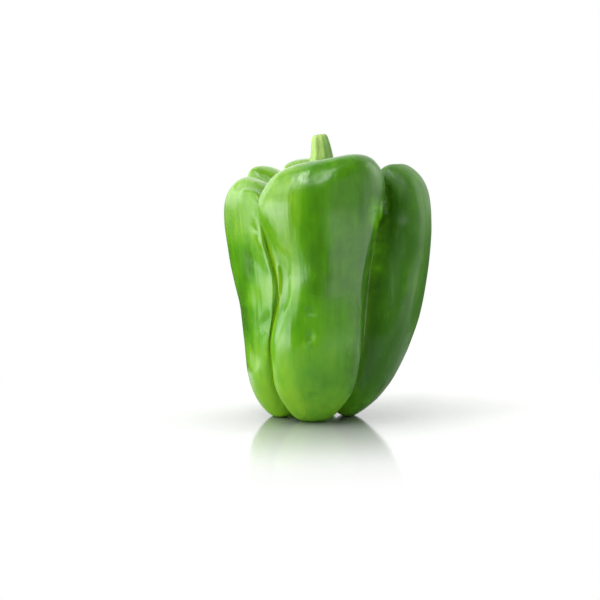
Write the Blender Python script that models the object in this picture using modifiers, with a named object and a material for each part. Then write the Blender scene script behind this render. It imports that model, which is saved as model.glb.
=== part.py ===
"""Green bell pepper: a blocky fruit of five lobes, its calyx and its cut stem.

Metres, +Z up. The pepper stands on the tips of its lobes. The origin is on that
surface, under the middle of the whole pepper's box, and the widest lobe faces -Y.

The fruit is a coarse cage with Subdivision Surface. The cage's columns run from the
hollow round the stem, over the shoulder and down to the pit under the fruit, and its
rings go round. Five of the columns are the grooves between the lobes, and the columns
in between bulge out from the grooves to make each lobe.
"""

import math
from collections import namedtuple

import bmesh
import bpy
from mathutils import Vector

# Heights at which the lobes' and grooves' sizes are given: foot, belly, waist, upper side, shoulder.
STATIONS = (0.007, 0.027, 0.050, 0.066, 0.083)

# The hollow round the stem.
HOLLOW_FLOOR = 0.082
HOLLOW_RADIUS = 0.009
HOLLOW_SLOPE_RADIUS = 0.016
HOLLOW_SLOPE_RISE = 0.003
HOLLOW_WALL_INSET = 0.0185
HOLLOW_WALL_DROP = 0.004

# The pit under the fruit, where the grooves meet.
PIT_ROOF = 0.008
PIT_RADIUS = 0.005
PIT_MOUTH_RADIUS = 0.0095

# The fruit's middle line leans towards -X at the foot.
LEAN_HEIGHTS = (0.0, 0.007, 0.027, 0.050)
LEAN_X = (-0.006, -0.0046, -0.002, 0.0)

# Where the middle line stands at the shoulder, so that the origin is under the middle of the box.
MIDDLE_X = 0.00026
MIDDLE_Y = 0.00019

# How far up the side each ring lies, as parts of the crest's height, from the shoulder down.
SIDE_RINGS = (0.86, 0.72, 0.58, 0.45, 0.32, 0.19, 0.085)
CREST_RINGS = (2, 3, 4)

# A lobe is columns wide. Its crest is its highest line, crest_inset in from the outer wall, and
# each column rises above that height by its lift. The shoulder rounds off from shoulder_inset in
# and shoulder_drop down. The radii are its greatest ones at the stations, the section is the
# fuller the lower its fullness is, and it stands on a tip at tip_radius.
Lobe = namedtuple("Lobe", "columns crest lift radii tip_radius "
                          "crest_inset shoulder_inset shoulder_drop fullness waist_fullness",
                  defaults=(0.0105, 0.0028, 0.0045, 0.7, 0.7))

# Anticlockwise, seen from above.
LOBES = {
    "front": Lobe(columns=5, crest=0.1028, lift=(-0.0042, -0.0022, -0.0012, 0.0030, 0.0030),
                  radii=(0.0285, 0.0370, 0.0342, 0.0390, 0.0410), tip_radius=0.015,
                  waist_fullness=1.05),
    "right": Lobe(columns=5, crest=0.0988, lift=(0.0040, 0.0012, 0.0, -0.0008, -0.0013),
                  radii=(0.0265, 0.0350, 0.0389, 0.0412, 0.0414), tip_radius=0.014,
                  crest_inset=0.0125, shoulder_inset=0.0045, shoulder_drop=0.006),
    "back": Lobe(columns=4, crest=0.1013, lift=(0.0040, 0.0005, 0.0, 0.0036),
                 radii=(0.0255, 0.0325, 0.0355, 0.0385, 0.0400), tip_radius=0.014),
    "back_left": Lobe(columns=3, crest=0.0973, lift=(0.0, 0.0, 0.0),
                      radii=(0.0248, 0.0316, 0.0350, 0.0380, 0.0400), tip_radius=0.014),
    "left": Lobe(columns=4, crest=0.0943, lift=(0.0, 0.0, 0.0, 0.0),
                 radii=(0.0260, 0.0318, 0.0350, 0.0398, 0.0423), tip_radius=0.0145),
}
WAIST_HEIGHT = 0.050
WAIST_SPREAD = 0.016

# Inside a tip the lobe turns up into the pit.
TIP_INNER_INSET = 0.0065
TIP_INNER_RISE = 0.0035

# How far below the surface a tip's cage point lies. Rounding the cage off lifts it again, and the
# little that stays below is cut away as the flat that the lobe stands on.
TIP_SINK = 0.0042

# A groove's bearing in degrees, anticlockwise from +X, and its radius, at each station.
Groove = namedtuple("Groove", "bearings radii")

# Each groove is the one that its lobe starts at, going anticlockwise.
GROOVES = {
    "front": Groove((228, 222, 226, 219, 211), (0.017, 0.026, 0.027, 0.027, 0.027)),
    "right": Groove((310, 304, 301, 306, 316), (0.017, 0.026, 0.027, 0.0275, 0.0275)),
    "back": Groove((410, 408, 404, 403, 405), (0.017, 0.026, 0.028, 0.029, 0.028)),
    "back_left": Groove((466, 471, 479, 486, 489), (0.016, 0.025, 0.027, 0.028, 0.027)),
    "left": Groove((515, 518, 522, 522, 523), (0.017, 0.027, 0.029, 0.030, 0.029)),
}
GROOVE_FLOOR_INSET = 0.009
GROOVE_CREST_INSET = 0.004
GROOVE_CREST_DROP = 0.0075
GROOVE_SHOULDER_DROP = 0.010
GROOVE_FOOT = 0.0102
GROOVE_SHARPNESS = 0.7

MM_PER_METRE = 1000

# No pepper is quite even. These cage points stand away from the lobes' even shape: for a lobe and
# one of its columns, where column 0 is the groove that it starts at, each ring's move in mm.
PULLED = {
    ("front", 0): {4: (-0.2, -3.1, 0.7), 5: (-1.5, -8.6, 0), 6: (-3.9, -7.8, 0), 7: (0.8, -6.7, 0),
                   8: (-1, -4.8, 0), 9: (-2, -4.1, 0), 10: (-1.5, 0, 0)},
    ("front", 1): {4: (0.1, -2.7, 0), 5: (-4.3, -3, -3.5), 6: (4.5, -5, -1.5), 7: (5.2, -3.2, 0),
                   8: (4.2, -4.7, 0), 9: (2.8, -3.3, 0), 10: (-1, 0, 0), 11: (-1.5, 0, 0)},
    ("front", 2): {4: (-1, 0, 0), 5: (3.9, -3.6, -1.5), 6: (1.6, -1.5, -1), 7: (3.3, 2.4, 0),
                   8: (1.1, -3.4, 0), 9: (-2.2, 0.6, 0), 10: (-1, 0, 0), 11: (-0.8, 0, 0)},
    ("front", 3): {8: (0.2, 0.3, 0), 9: (0.6, -0.5, 0)},
    ("right", 1): {4: (-1.9, -0.8, 0), 5: (-0.6, -1.8, 0), 6: (-0.7, 1.4, 0), 7: (-0.6, 2.5, 0),
                   8: (0.2, 3.3, 0)},
    ("right", 2): {4: (2.3, -8.2, 0), 5: (-2.3, -10.4, 0), 6: (0.7, -10.5, 0), 7: (0.6, -10.3, 0),
                   8: (0.4, -9.6, 0), 9: (0, -7.1, 0), 10: (-0.3, -1, 0)},
    ("right", 3): {4: (-0.5, -4.9, 0), 5: (-0.6, -5.6, 0), 6: (-0.9, -7.3, 0), 7: (-0.5, -4.5, 0),
                   8: (0.3, -2.4, 0)},
    ("back", 1): {3: (4.2, -0.4, -0.6)},
    ("back", 2): {3: (-1.5, 1.2, -2.8)},
    ("back", 3): {3: (-7.6, -1.1, -1.4)},
    ("back", 4): {3: (-7.6, -1.1, -6.7)},
    ("back_left", 2): {3: (-1.7, 1, 0)},
    ("back_left", 3): {3: (-6.9, 0.6, 2)},
    ("left", 1): {6: (-0.9, 0, 0), 7: (-2.6, 0, 0), 8: (-0.4, 0, 0)},
    ("left", 2): {6: (-1.1, 0, 0), 7: (-3, 0, 0), 8: (-0.6, 0, 0)},
    ("left", 3): {4: (0.6, 1.5, 0), 5: (-1.9, 8.5, 0), 6: (-1.4, 8.7, 0), 7: (7.3, -10.1, 0),
                  8: (2.8, -4.8, 0), 9: (3.3, -6, 0)},
    ("left", 4): {4: (4.6, -10.8, 0.2), 5: (9.5, -12.4, 0), 6: (5.2, -9.4, 0), 7: (6.7, -8.1, 0),
                  8: (4.3, -7.6, 0), 9: (3.6, -6.2, 0), 10: (0.8, -1, 0)},
}

FRUIT_SUBDIVISIONS = 2
FRUIT_TRIANGLES_KEPT = 0.5

# Clear space between neighbouring pieces.
GAP = 0.0003

# The calyx: a thin collar with blunt points, on the floor of the hollow. It is a flattened ball
# with a scalloped edge, and only its upper part is left once the fruit is cut out of it.
CALYX_POINTS = 5
CALYX_RADIUS = 0.0118
CALYX_POINT_LENGTH = 0.0022
CALYX_HALF_HEIGHT = 0.0040
CALYX_MIDDLE = 0.0815
CALYX_CENTRE_X = -0.0013
CALYX_COLUMNS = 40
CALYX_RINGS = 9

# The socket in the calyx that the stem's foot stands in.
SOCKET_FLOOR = 0.0842
SOCKET_TOP = 0.095

# The stem: its rings from the cut end to the foot, as height, radius and sideways place.
StemRing = namedtuple("StemRing", "height radius x")

STEM_RINGS = (
    StemRing(0.1084, 0.0016, -0.0036),
    StemRing(0.1081, 0.0025, -0.0036),
    StemRing(0.1068, 0.0029, -0.0035),
    StemRing(0.1033, 0.0036, -0.0031),
    StemRing(0.0993, 0.0043, -0.0027),
    StemRing(0.0948, 0.0047, -0.0024),
    StemRing(0.0903, 0.0051, -0.0019),
    StemRing(0.0865, 0.0060, -0.0014),
    StemRing(0.0848, 0.0060, -0.0013),
    StemRing(0.0846, 0.0046, -0.0013),
)
STEM_COLUMNS = 30
STEM_RIDGES = 6
STEM_RIDGE_DEPTH = 0.06
STEM_CUT_SLOPE = 0.12
STEM_CUT_START = 0.1033

FRUIT_COLOUR = (0.085, 0.270, 0.012)
CALYX_COLOUR = (0.150, 0.330, 0.050)
STEM_COLOUR = (0.270, 0.430, 0.100)
SKIN_ROUGHNESS = 0.25
STALK_ROUGHNESS = 0.6


def value_at(height, heights, values):
    """Read a smooth curve through values given at rising heights. It is level past both ends."""
    if height <= heights[0]:
        return values[0]
    if height >= heights[-1]:
        return values[-1]
    last = len(heights) - 1
    low = max(i for i in range(last) if heights[i] <= height)

    def slope(i):
        before = max(i - 1, 0)
        after = min(i + 1, last)
        return (values[after] - values[before]) / (heights[after] - heights[before])

    step = heights[low + 1] - heights[low]
    t = (height - heights[low]) / step
    return ((2 * t**3 - 3 * t**2 + 1) * values[low] + (t**3 - 2 * t**2 + t) * step * slope(low)
            + (3 * t**2 - 2 * t**3) * values[low + 1] + (t**3 - t**2) * step * slope(low + 1))


def crest_profile(lobe):
    """The lobe's middle column: the radius and height of each ring, from the hollow to the pit."""
    top_radius = lobe.radii[-1]
    profile = [
        (HOLLOW_RADIUS, HOLLOW_FLOOR),
        (HOLLOW_SLOPE_RADIUS, HOLLOW_FLOOR + HOLLOW_SLOPE_RISE),
        (top_radius - HOLLOW_WALL_INSET, lobe.crest - HOLLOW_WALL_DROP),
        (top_radius - lobe.crest_inset, lobe.crest),
        (top_radius - lobe.shoulder_inset, lobe.crest - lobe.shoulder_drop),
    ]
    for part in SIDE_RINGS:
        height = part * lobe.crest
        profile.append((value_at(height, STATIONS, lobe.radii), height))
    profile.append((lobe.tip_radius, -TIP_SINK))
    profile.append((lobe.tip_radius - TIP_INNER_INSET, TIP_INNER_RISE))
    return profile


def groove_profile(groove, crest):
    """A groove's bearing, radius and height at each ring, from the hollow to the pit."""
    bearing = groove.bearings[-1]
    top_radius = groove.radii[-1]
    profile = [
        (bearing, HOLLOW_RADIUS, HOLLOW_FLOOR),
        (bearing, HOLLOW_SLOPE_RADIUS, HOLLOW_FLOOR + GAP),
        (bearing, top_radius - GROOVE_FLOOR_INSET, HOLLOW_FLOOR + HOLLOW_SLOPE_RISE),
        (bearing, top_radius - GROOVE_CREST_INSET, crest - GROOVE_CREST_DROP),
        (bearing, top_radius, crest - GROOVE_SHOULDER_DROP),
    ]
    for part in SIDE_RINGS:
        height = max(part * crest, GROOVE_FOOT)
        profile.append((value_at(height, STATIONS, groove.bearings),
                        value_at(height, STATIONS, groove.radii), height))
    profile.append((groove.bearings[0], PIT_MOUTH_RADIUS, PIT_ROOF))
    profile.append((groove.bearings[0], PIT_RADIUS, PIT_ROOF))
    return profile


def placed(bearing, radius, height):
    """The point at a bearing and radius from the fruit's leaning middle line."""
    lean = value_at(height, LEAN_HEIGHTS, LEAN_X)
    angle = math.radians(bearing)
    return Vector((MIDDLE_X + lean + radius * math.cos(angle),
                   MIDDLE_Y + radius * math.sin(angle), height))


def lobe_columns(lobe, start, end):
    """A lobe's columns of points, between the grooves that it starts and ends at."""
    crest = crest_profile(lobe)
    columns = []
    for number, lift in enumerate(lobe.lift):
        swing = math.radians(180 * (number + 1) / (lobe.columns + 1) - 90)
        across = (math.sin(swing) + 1) / 2
        column = []
        for ring, (start_at, end_at, crest_at) in enumerate(zip(start, end, crest)):
            bearing, valley_radius, valley_height = (
                a + (b - a) * across for a, b in zip(start_at, end_at))
            near_waist = math.exp(-((start_at[2] - WAIST_HEIGHT) / WAIST_SPREAD) ** 2)
            fullness = lobe.fullness + (lobe.waist_fullness - lobe.fullness) * near_waist
            out = math.cos(swing) ** fullness
            radius = valley_radius + (crest_at[0] - valley_radius) * out
            height = valley_height + (crest_at[1] - valley_height) * out
            if ring in CREST_RINGS:
                height += lift
            column.append(placed(bearing, radius, height))
        columns.append(column)
    return columns


def fruit_columns():
    """Every column of the cage, and the numbers of those that are grooves."""
    names = list(LOBES)
    profiles = []
    for i, name in enumerate(names):
        lower_crest = min(LOBES[name].crest, LOBES[names[i - 1]].crest)
        profiles.append(groove_profile(GROOVES[name], lower_crest))
    full_turn = [(bearing + 360, radius, height) for bearing, radius, height in profiles[0]]
    profiles.append(full_turn)

    columns = []
    grooves = []
    for i, name in enumerate(names):
        grooves.append(len(columns))
        columns.append([placed(*ring) for ring in profiles[i]])
        columns += lobe_columns(LOBES[name], profiles[i], profiles[i + 1])
    for (name, number), moves in PULLED.items():
        column = columns[grooves[names.index(name)] + number]
        for ring, move in moves.items():
            column[ring] += Vector(move) / MM_PER_METRE
    return columns, grooves


def shaped_sphere(name, columns, top, bottom, grooves=()):
    """A sphere whose columns of points, each listed from the top down, are moved into place."""
    rings = len(columns[0])
    bm = bmesh.new()
    bmesh.ops.create_uvsphere(bm, u_segments=len(columns), v_segments=rings + 1, radius=1)
    place_of = {}
    for vert in bm.verts:
        down = math.acos(max(-1, min(1, vert.co.z)))
        ring = round(down * (rings + 1) / math.pi) - 1
        column = round(math.atan2(vert.co.y, vert.co.x) * len(columns) / math.tau) % len(columns)
        place_of[vert] = (column, ring)

    crease = bm.edges.layers.float.new("crease_edge")
    for edge in bm.edges:
        (column, ring), (other_column, other_ring) = (place_of[vert] for vert in edge.verts)
        outside = min(ring, other_ring) >= CREST_RINGS[0] and max(ring, other_ring) <= rings - 2
        if column == other_column and column in grooves and outside:
            edge[crease] = GROOVE_SHARPNESS

    for vert, (column, ring) in place_of.items():
        if ring < 0:
            vert.co = top
        elif ring >= rings:
            vert.co = bottom
        else:
            vert.co = columns[column][ring]
    mesh = bpy.data.meshes.new(name)
    bm.to_mesh(mesh)
    bm.free()
    return mesh


def upright_cylinder(name, radius, low, high, x, y, sides):
    """A closed cylinder between two heights."""
    bm = bmesh.new()
    bmesh.ops.create_cone(bm, cap_ends=True, segments=sides, radius1=radius, radius2=radius,
                          depth=high - low)
    bmesh.ops.translate(bm, verts=bm.verts, vec=(x, y, (low + high) / 2))
    mesh = bpy.data.meshes.new(name)
    bm.to_mesh(mesh)
    bm.free()
    return mesh


def add_part(name, mesh, collection):
    """An object for a mesh, shaded smooth."""
    part = bpy.data.objects.new(name, mesh)
    collection.objects.link(part)
    mesh.shade_smooth()
    return part


def add_cutter(name, mesh, collection):
    """An object that is only there to be cut out of others."""
    cutter = add_part(name, mesh, collection)
    cutter.hide_render = True
    cutter.display_type = 'WIRE'
    return cutter


def round_off(part):
    """Turn the fruit's cage into its smooth skin."""
    modifier = part.modifiers.new("Rounding", 'SUBSURF')
    modifier.levels = FRUIT_SUBDIVISIONS
    modifier.render_levels = FRUIT_SUBDIVISIONS


def cut(part, cutter):
    """Take a cutter's shape out of a part."""
    modifier = part.modifiers.new("Less " + cutter.name, 'BOOLEAN')
    modifier.operation = 'DIFFERENCE'
    modifier.solver = 'EXACT'
    modifier.object = cutter


def give_material(part, colour, roughness):
    """A plain material for one part."""
    material = bpy.data.materials.new(part.name)
    material.use_nodes = True
    shader = material.node_tree.nodes["Principled BSDF"]
    shader.inputs["Base Color"].default_value = (*colour, 1)
    shader.inputs["Roughness"].default_value = roughness
    shader.inputs["Metallic"].default_value = 0
    part.data.materials.append(material)


def fruit_cage():
    columns, grooves = fruit_columns()
    top = Vector((MIDDLE_X, MIDDLE_Y, HOLLOW_FLOOR))
    return shaped_sphere("fruit", columns, top, placed(0, 0, PIT_ROOF), grooves)


def make_fruit(parts, cutters):
    """The fruit, with a small flat on the tip of each lobe, where it stands."""
    fruit = add_part("fruit", fruit_cage(), parts)
    round_off(fruit)
    fewer = fruit.modifiers.new("Fewer triangles", 'DECIMATE')
    fewer.ratio = FRUIT_TRIANGLES_KEPT
    ground = upright_cylinder("ground", radius=0.08, low=-0.01, high=0, x=0, y=0, sides=8)
    cut(fruit, add_cutter("ground", ground, cutters))
    give_material(fruit, FRUIT_COLOUR, SKIN_ROUGHNESS)


def make_calyx(parts, cutters):
    """The collar that the stem grows from, cut to lie on the floor of the hollow."""
    middle = Vector((MIDDLE_X + CALYX_CENTRE_X, MIDDLE_Y, CALYX_MIDDLE))
    columns = []
    for number in range(CALYX_COLUMNS):
        angle = math.tau * number / CALYX_COLUMNS
        reach = CALYX_RADIUS + CALYX_POINT_LENGTH * math.cos(CALYX_POINTS * angle)
        column = []
        for ring in range(CALYX_RINGS):
            down = math.pi * (ring + 1) / (CALYX_RINGS + 1)
            column.append(middle + Vector((reach * math.sin(down) * math.cos(angle),
                                           reach * math.sin(down) * math.sin(angle),
                                           CALYX_HALF_HEIGHT * math.cos(down))))
        columns.append(column)
    rise = Vector((0, 0, CALYX_HALF_HEIGHT))
    calyx = add_part("calyx", shaped_sphere("calyx", columns, middle + rise, middle - rise), parts)

    fruit_room = add_cutter("fruit_room", fruit_cage(), cutters)
    round_off(fruit_room)
    swell = fruit_room.modifiers.new("Clearance", 'DISPLACE')
    swell.mid_level = 0
    swell.strength = 1.5 * GAP
    cut(calyx, fruit_room)

    foot_radius = max(ring.radius for ring in STEM_RINGS) * (1 + STEM_RIDGE_DEPTH)
    stem_room = upright_cylinder("stem_room", radius=foot_radius + GAP, low=SOCKET_FLOOR,
                                 high=SOCKET_TOP, x=middle.x, y=middle.y, sides=STEM_COLUMNS)
    cut(calyx, add_cutter("stem_room", stem_room, cutters))
    give_material(calyx, CALYX_COLOUR, STALK_ROUGHNESS)


def make_stem(parts):
    """The ridged stem, widest at its foot, with a cut end that slopes away to both sides."""
    cut_depth = STEM_RINGS[0].height - STEM_CUT_START
    columns = []
    for number in range(STEM_COLUMNS):
        angle = math.tau * number / STEM_COLUMNS
        ridge = 1 + STEM_RIDGE_DEPTH * math.cos(STEM_RIDGES * angle)
        column = []
        for ring in STEM_RINGS:
            x = ring.radius * ridge * math.cos(angle)
            y = ring.radius * ridge * math.sin(angle)
            near_end = max(0, (ring.height - STEM_CUT_START) / cut_depth)
            height = ring.height - STEM_CUT_SLOPE * abs(x) * near_end
            column.append(Vector((MIDDLE_X + ring.x + x, MIDDLE_Y + y, height)))
        columns.append(column)
    end = Vector((MIDDLE_X + STEM_RINGS[0].x, MIDDLE_Y, STEM_RINGS[0].height))
    foot = Vector((MIDDLE_X + STEM_RINGS[-1].x, MIDDLE_Y, STEM_RINGS[-1].height))
    stem = add_part("stem", shaped_sphere("stem", columns, end, foot), parts)
    give_material(stem, STEM_COLOUR, STALK_ROUGHNESS)


def main():
    for old in list(bpy.data.objects):
        bpy.data.objects.remove(old)
    parts = bpy.data.collections.new("bell_pepper")
    cutters = bpy.data.collections.new("cutters")
    bpy.context.scene.collection.children.link(parts)
    bpy.context.scene.collection.children.link(cutters)
    make_fruit(parts, cutters)
    make_calyx(parts, cutters)
    make_stem(parts)


main()
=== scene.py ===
# %% [markdown]
# # A green bell pepper
#
# This notebook builds the look of one green bell pepper that stands upright on its lobes:
# a blocky fruit with glossy skin and deep grooves, the star-shaped collar in the hollow at
# its top, and the short ridged stem. The plain solids of the same three pieces are already
# there, as a frame that gives the sizes and places. Everything is in metres.

# %% Load the frame
import math

import bmesh
import bpy
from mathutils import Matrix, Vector


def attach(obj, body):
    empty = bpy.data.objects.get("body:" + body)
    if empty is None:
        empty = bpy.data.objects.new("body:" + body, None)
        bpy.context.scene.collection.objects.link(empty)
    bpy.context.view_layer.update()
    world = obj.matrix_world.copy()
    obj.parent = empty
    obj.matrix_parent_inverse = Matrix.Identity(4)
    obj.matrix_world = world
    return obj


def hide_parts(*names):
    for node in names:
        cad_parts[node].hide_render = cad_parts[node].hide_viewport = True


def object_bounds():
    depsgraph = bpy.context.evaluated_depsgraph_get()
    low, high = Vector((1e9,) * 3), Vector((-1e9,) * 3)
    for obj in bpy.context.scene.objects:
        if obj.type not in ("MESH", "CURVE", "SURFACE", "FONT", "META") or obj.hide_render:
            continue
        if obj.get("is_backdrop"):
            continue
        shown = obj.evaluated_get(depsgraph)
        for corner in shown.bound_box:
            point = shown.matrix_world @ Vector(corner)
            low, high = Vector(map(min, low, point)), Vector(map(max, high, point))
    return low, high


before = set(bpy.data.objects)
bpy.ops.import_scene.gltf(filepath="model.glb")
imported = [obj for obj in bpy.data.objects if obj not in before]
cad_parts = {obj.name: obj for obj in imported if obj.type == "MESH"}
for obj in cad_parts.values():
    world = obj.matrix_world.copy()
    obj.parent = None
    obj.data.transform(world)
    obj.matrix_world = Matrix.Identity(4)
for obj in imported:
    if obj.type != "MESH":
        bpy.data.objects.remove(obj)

cad_low, cad_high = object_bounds()
MM_PER_METRE = 1000


def in_mm(sides):
    return [round(MM_PER_METRE * side, 1) for side in sides]


print("frame box, mm:", in_mm(b - a for a, b in zip(cad_low, cad_high)))

# %% [markdown]
# ## Working as by hand
#
# An edit-mode tool acts on whatever is selected, and the frame's solids come in selected. So
# each step starts by clearing the selection, and then picks points by their place. These
# helpers do what a modeller does with the mouse: go into edit mode, pick some points, pull
# them, and go back out. Soft pulls use proportional editing, which moves the points around
# the picked ones too, less the further away they are.

# %% Helpers for editing
def select_only(piece):
    bpy.ops.object.select_all(action="DESELECT")
    piece.select_set(True)
    bpy.context.view_layer.objects.active = piece


def start_editing(piece):
    """Go into edit mode on one piece, with nothing of it picked, and return its mesh."""
    select_only(piece)
    bpy.ops.object.mode_set(mode="EDIT")
    bpy.ops.mesh.select_mode(type="VERT")
    bpy.ops.mesh.select_all(action="DESELECT")
    return bmesh.from_edit_mesh(piece.data)


def stop_editing():
    bpy.ops.object.mode_set(mode="OBJECT")


def pick(points, bm):
    """Pick these points and no others."""
    bpy.ops.mesh.select_all(action="DESELECT")
    for point in points:
        point.select_set(True)
    bm.select_flush_mode()


def softly(reach):
    """Proportional editing, as settings of a tool that moves points."""
    return dict(use_proportional_edit=True, proportional_edit_falloff="SMOOTH",
                proportional_size=reach)


# %% [markdown]
# A few more helpers work on a whole piece. A modifier is applied as soon as it is added, so
# that the next step can work on the points it made. A new circle's place goes into its mesh,
# so that its origin stays the world's.

# %% Helpers for whole pieces
def finish_with(piece, kind, **settings):
    """Add a modifier and apply it."""
    select_only(piece)
    modifier = piece.modifiers.new(kind.title(), kind)
    for name, value in settings.items():
        setattr(modifier, name, value)
    bpy.ops.object.modifier_apply(modifier=modifier.name)


def subdivide(piece, rounds):
    finish_with(piece, "SUBSURF", levels=rounds, render_levels=rounds)


def new_circle(name, sides, radius, centre, fill):
    """A circle of points to start a piece from."""
    bpy.ops.object.select_all(action="DESELECT")
    bpy.ops.mesh.primitive_circle_add(vertices=sides, radius=radius, location=centre,
                                      fill_type=fill)
    bpy.ops.object.transform_apply(location=True, rotation=True, scale=True)
    bpy.context.object.name = name
    return bpy.context.object


def describe(piece):
    print(piece.name, len(piece.data.polygons), "faces,", in_mm(piece.dimensions), "mm")


# %% [markdown]
# ## The camera
#
# The camera comes first, because the folds and dimples of the skin are placed by where they
# are seen in the picture. It looks slightly down on the pepper, from far enough away that the
# lobes at the back look nearly as large as those at the front, through a long lens. The
# pepper stands a little to the right of the middle of the picture, so the camera is aimed
# beside it.

# %% Camera
PICTURE_WIDTH = 600
PIXELS_PER_METRE = 2600
CAMERA_DISTANCE = 0.9
CAMERA_TILT = math.radians(6)
CAMERA_AIM = Vector((-0.0108, 0.0, 0.0447))
SENSOR_WIDTH = 36
NEAREST_SEEN = 0.01

camera_data = bpy.data.cameras.new("camera")
camera = bpy.data.objects.new("camera", camera_data)
bpy.context.scene.collection.objects.link(camera)
camera_data.sensor_width = SENSOR_WIDTH
camera_data.lens = SENSOR_WIDTH * CAMERA_DISTANCE * PIXELS_PER_METRE / PICTURE_WIDTH
camera_data.clip_start = NEAREST_SEEN
camera.rotation_euler = (math.pi / 2 - CAMERA_TILT, 0, 0)
camera.location = CAMERA_AIM + CAMERA_DISTANCE * Vector(
    (0, -math.cos(CAMERA_TILT), math.sin(CAMERA_TILT)))
bpy.context.scene.camera = camera
print("lens, mm:", round(camera_data.lens, 1))


def seen_at(piece, pixel):
    """The point of a piece's surface that the picture shows at a pixel."""
    across = (pixel[0] - PICTURE_WIDTH / 2) / PIXELS_PER_METRE
    up = (PICTURE_WIDTH / 2 - pixel[1]) / PIXELS_PER_METRE
    target = CAMERA_AIM + across * Vector((1, 0, 0)) + up * Vector(
        (0, math.sin(CAMERA_TILT), math.cos(CAMERA_TILT)))
    hit, place, _, _ = piece.ray_cast(camera.location, target - camera.location)
    if not hit:
        raise ValueError(f"nothing of {piece.name} is seen at {pixel}")
    return place


# %% [markdown]
# ## The fruit's lobes
#
# A bell pepper grows as three to five hollow lobes that swell between fixed ribs, so its skin
# is a ring of bulges with a groove between each two. It could be sculpted, or made of joined
# balls, but reflections on a glossy skin show every uneven face. A coarse cage under
# Subdivision Surface gives even curves, and each number in it is something to measure: how
# high a lobe stands, how far it reaches at five heights, where each groove runs.

# %% Sizes of the lobes
STATIONS = (0.007, 0.027, 0.050, 0.066, 0.083)
MIDDLE = Vector((0.00026, 0.00019, 0))
FULLNESS = 0.7
WAIST_HEIGHT = 0.050
WAIST_SPREAD = 0.016

# Each lobe: crest height, lift of each of its columns, greatest radii at the stations, radius
# of the tip that it stands on, how far in the crest lies, how far in and down its shoulder
# starts, and how full its section is at the waist. Most lobes share the last three.
USUAL = dict(inset=0.0105, shoulder=(0.0028, 0.0045), waist_fullness=FULLNESS)
LOBES = {
    "front": dict(USUAL, crest=0.1028, lift=(-0.0042, -0.0022, -0.0012, 0.0030, 0.0030),
                  radii=(0.0285, 0.0370, 0.0342, 0.0390, 0.0410), tip=0.015,
                  waist_fullness=1.05),
    "right": dict(USUAL, crest=0.0988, lift=(0.0040, 0.0012, 0.0, -0.0008, -0.0013),
                  radii=(0.0265, 0.0350, 0.0389, 0.0412, 0.0414), tip=0.014,
                  inset=0.0125, shoulder=(0.0045, 0.0060)),
    "back": dict(USUAL, crest=0.1013, lift=(0.0040, 0.0005, 0.0, 0.0036),
                 radii=(0.0255, 0.0325, 0.0355, 0.0385, 0.0400), tip=0.014),
    "back_left": dict(USUAL, crest=0.0973, lift=(0.0, 0.0, 0.0),
                      radii=(0.0248, 0.0316, 0.0350, 0.0380, 0.0400), tip=0.014),
    "left": dict(USUAL, crest=0.0943, lift=(0.0, 0.0, 0.0, 0.0),
                 radii=(0.0260, 0.0318, 0.0350, 0.0398, 0.0423), tip=0.0145),
}
print("lobes:", ", ".join(LOBES))

# %% [markdown]
# The grooves have their own run: each has a bearing and a radius at the same five heights. At
# the top the skin dips into the hollow round the stem, and underneath it turns up from the
# tips into a pit, where the grooves meet.

# %% Sizes of the grooves, the hollow and the pit
# The groove that each lobe starts at, going anticlockwise: bearings in degrees, and radii.
GROOVES = {
    "front": ((228, 222, 226, 219, 211), (0.017, 0.026, 0.027, 0.027, 0.027)),
    "right": ((310, 304, 301, 306, 316), (0.017, 0.026, 0.027, 0.0275, 0.0275)),
    "back": ((410, 408, 404, 403, 405), (0.017, 0.026, 0.028, 0.029, 0.028)),
    "back_left": ((466, 471, 479, 486, 489), (0.016, 0.025, 0.027, 0.028, 0.027)),
    "left": ((515, 518, 522, 522, 523), (0.017, 0.027, 0.029, 0.030, 0.029)),
}
GROOVE_FLOOR_LIFT = 0.0003
GROOVE_FLOOR_INSET = 0.009
GROOVE_CREST_INSET = 0.004
GROOVE_CREST_DROP = 0.0075
GROOVE_SHOULDER_DROP = 0.010
GROOVE_FOOT = 0.0102
HOLLOW_FLOOR = 0.082
HOLLOW_RADIUS = 0.009
HOLLOW_SLOPE_RADIUS = 0.016
HOLLOW_SLOPE_RISE = 0.003
HOLLOW_WALL_INSET = 0.0185
HOLLOW_WALL_DROP = 0.004
TIP_SINK = 0.0042
TIP_INNER_INSET = 0.0065
TIP_INNER_RISE = 0.0035
PIT_ROOF = 0.008
PIT_RADIUS = 0.005
PIT_MOUTH_RADIUS = 0.0095

# %% [markdown]
# ## Where each cage point goes
#
# The cage has columns that run from the hollow over the shoulder and down to the pit, and
# rings that go round. The sizes are known at five heights only, so a smooth curve is read in
# between. The whole fruit leans a little to the left at its foot.

# %% Reading the sizes
LEAN_HEIGHTS = (0.0, 0.007, 0.027, 0.050)
LEAN_X = (-0.006, -0.0046, -0.002, 0.0)


def value_at(height, heights, values):
    """Read a smooth curve through values at rising heights, level past both ends."""
    if height <= heights[0]:
        return values[0]
    if height >= heights[-1]:
        return values[-1]
    last = len(heights) - 1
    low = max(i for i in range(last) if heights[i] <= height)

    def slope(i):
        before, after = max(i - 1, 0), min(i + 1, last)
        return (values[after] - values[before]) / (heights[after] - heights[before])

    step = heights[low + 1] - heights[low]
    t = (height - heights[low]) / step
    return ((2 * t**3 - 3 * t**2 + 1) * values[low] + (t**3 - 2 * t**2 + t) * step * slope(low)
            + (3 * t**2 - 2 * t**3) * values[low + 1] + (t**3 - t**2) * step * slope(low + 1))


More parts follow.
